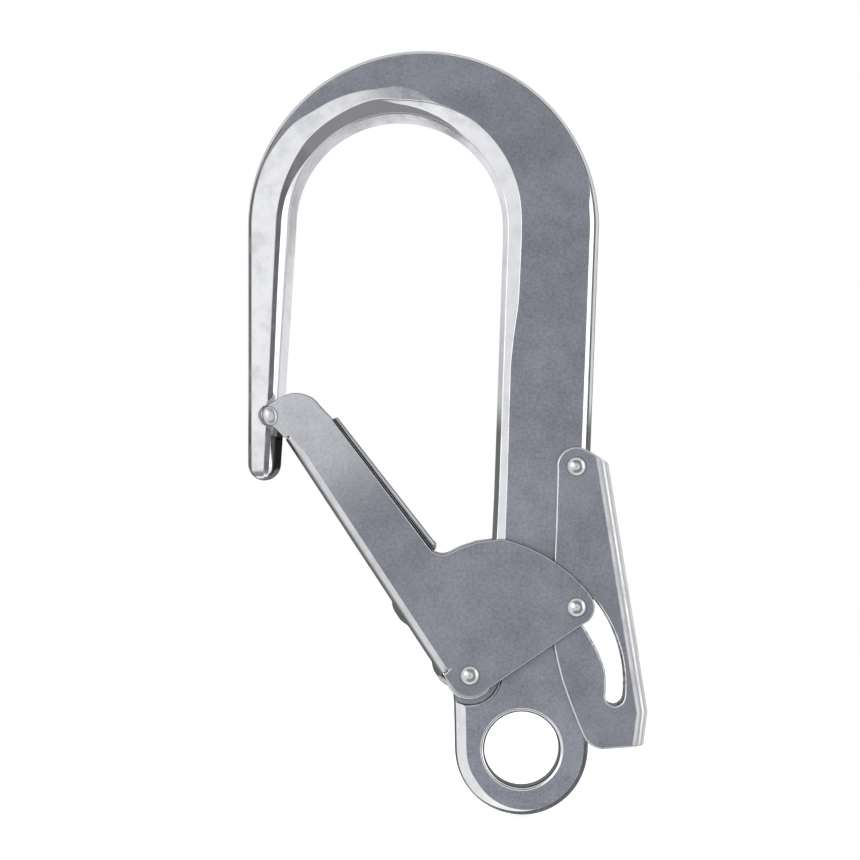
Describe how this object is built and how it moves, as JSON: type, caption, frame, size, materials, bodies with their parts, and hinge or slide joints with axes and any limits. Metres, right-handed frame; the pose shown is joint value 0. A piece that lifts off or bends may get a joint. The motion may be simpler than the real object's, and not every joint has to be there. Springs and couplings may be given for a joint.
{
  "type": "eye hook with latch",
  "caption": "Large-opening forged eye hook with an inward spring gate, and a squeeze lever that locks the gate shut.",
  "frame": {"origin": "centre of the eye, halfway through the thickness", "axes": "+Z from the eye to the top of the bow, +X towards the spine, +Y along the axis of the eye and of every pivot"},
  "size_m": [0.1178, 0.0224, 0.2254],
  "materials": {
    "forged_alloy": "satin tumbled faces with polished bevels",
    "sheet_steel": "satin zinc-plated, fine tumbled grain",
    "liner_steel": "satin",
    "rivet_steel": "polished",
    "spring_steel": "drawn wire"
  },
  "bodies": {
    "hook": {"hook_body": "forged_alloy", "gate_spring_front": "spring_steel", "gate_spring_back": "spring_steel", "lever_spring": "spring_steel"},
    "gate": {"gate_channel": "sheet_steel", "gate_liner": "liner_steel", "gate_rivet": "rivet_steel", "gate_sleeve": "rivet_steel", "lock_pin": "rivet_steel"},
    "lever": {"lock_lever": "sheet_steel", "lever_rivet": "rivet_steel", "lever_sleeve": "rivet_steel"}
  },
  "joints": [
    {"name": "gate_swing", "type": "hinge", "parent": "hook", "child": "gate", "pos_m": [-0.01535, 0, 0.0219], "axis": [0, 1, 0], "range_deg": [0, 40], "stiffness_Nm_per_rad": 0.15, "springref_deg": -51.57, "deforming": ["gate_spring_front", "gate_spring_back"]},
    {"name": "lever_squeeze", "type": "hinge", "parent": "hook", "child": "lever", "pos_m": [0.016, 0, 0.0832], "axis": [0, 1, 0], "range_deg": [0, 5.5], "stiffness_Nm_per_rad": 0.5, "springref_deg": -17.19, "deforming": ["lever_spring"]}
  ],
  "couplings": [
    {"joint": "lever_squeeze", "follows": "gate_swing", "ratio": 0.1375}
  ]
}
